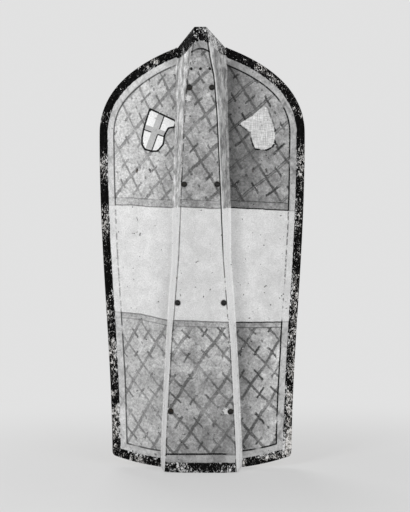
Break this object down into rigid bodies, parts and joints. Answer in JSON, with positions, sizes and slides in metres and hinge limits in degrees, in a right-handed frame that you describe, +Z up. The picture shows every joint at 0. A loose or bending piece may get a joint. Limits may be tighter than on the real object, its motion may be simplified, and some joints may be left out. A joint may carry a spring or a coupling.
{
  "type": "pavise shield",
  "caption": "Tall bowed infantry shield of glued planks with a hollow central rib, beaked top, riveted crosspieces, upright hand grip and a buckled carrying strap.",
  "frame": {"origin": "middle of the flat back of the upright hand grip, behind the rib", "axes": "+Z up along the shield to its nose, -Y out of the painted front, +Y towards the bearer, +X to the right as seen from the front"},
  "size_m": [0.553, 0.1525, 1.156],
  "materials": {
    "lime_wood": "bare planed lime wood, aged and dull",
    "painted_canvas": "gessoed linen, painted, matt and crackled",
    "back_lining": "coarse unbleached linen glued flat, browned and dusty",
    "rawhide_rim": "rawhide painted black, flaking",
    "grip_wood": "hand-polished hardwood",
    "iron": "hammered wrought iron, darkened",
    "strap_leather": "vegetable-tanned leather, worn"
  },
  "bodies": {
    "shield": {"left_outer_board": "lime_wood", "left_inner_board": "lime_wood", "right_inner_board": "lime_wood", "right_outer_board": "lime_wood", "rib_front_board": "lime_wood", "rib_left_cheek": "lime_wood", "rib_right_cheek": "lime_wood", "nose_block": "lime_wood", "upper_crosspiece": "lime_wood", "lower_crosspiece": "lime_wood", "foot_crosspiece": "lime_wood", "front_canvas": "painted_canvas", "left_back_lining": "back_lining", "right_back_lining": "back_lining", "left_edge_rim": "rawhide_rim", "left_foot_rim": "rawhide_rim", "right_edge_rim": "rawhide_rim", "right_foot_rim": "rawhide_rim", "rib_rivet_nose_left": "iron", "rib_rove_nose_left": "iron", "rib_rivet_nose_right": "iron", "rib_rove_nose_right": "iron", "rib_rivet_upper_left": "iron", "rib_rove_upper_left": "iron", "rib_rivet_upper_right": "iron", "rib_rove_upper_right": "iron", "rib_rivet_lower_left": "iron", "rib_rove_lower_left": "iron", "rib_rivet_lower_right": "iron", "rib_rove_lower_right": "iron", "rib_rivet_foot_left": "iron", "rib_rove_foot_left": "iron", "rib_rivet_foot_right": "iron", "rib_rove_foot_right": "iron", "nose_nail_left": "iron", "nose_nail_middle": "iron", "nose_nail_right": "iron", "grip_bar": "grip_wood", "grip_nail_1": "iron", "grip_nail_2": "iron", "grip_nail_3": "iron", "grip_nail_4": "iron", "left_staple": "iron", "right_staple": "iron"},
    "long_strap": {"long_strap": "strap_leather", "long_strap_rivet": "iron"},
    "buckle_strap": {"buckle_strap": "strap_leather", "buckle_strap_upper_rivet": "iron", "buckle_strap_lower_rivet": "iron"},
    "buckle": {"buckle_frame": "iron"},
    "tongue": {"buckle_tongue": "iron"}
  },
  "joints": [
    {"name": "long_strap_swing", "type": "hinge", "parent": "shield", "child": "long_strap", "pos_m": [-0.155, 0.02069, 0.1985], "axis": [1, 0, 0], "range_deg": [0, 150]},
    {"name": "buckle_strap_swing", "type": "hinge", "parent": "shield", "child": "buckle_strap", "pos_m": [0.155, 0.02069, 0.1985], "axis": [1, 0, 0], "range_deg": [0, 150]},
    {"name": "buckle_swing", "type": "hinge", "parent": "buckle_strap", "child": "buckle", "pos_m": [0.155, 0.02069, -0.0115], "axis": [1, 0, 0], "range_deg": [-10, 80]},
    {"name": "tongue_swing", "type": "hinge", "parent": "buckle", "child": "tongue", "pos_m": [0.155, 0.02069, -0.0115], "axis": [1, 0, 0], "range_deg": [0, 60]}
  ]
}
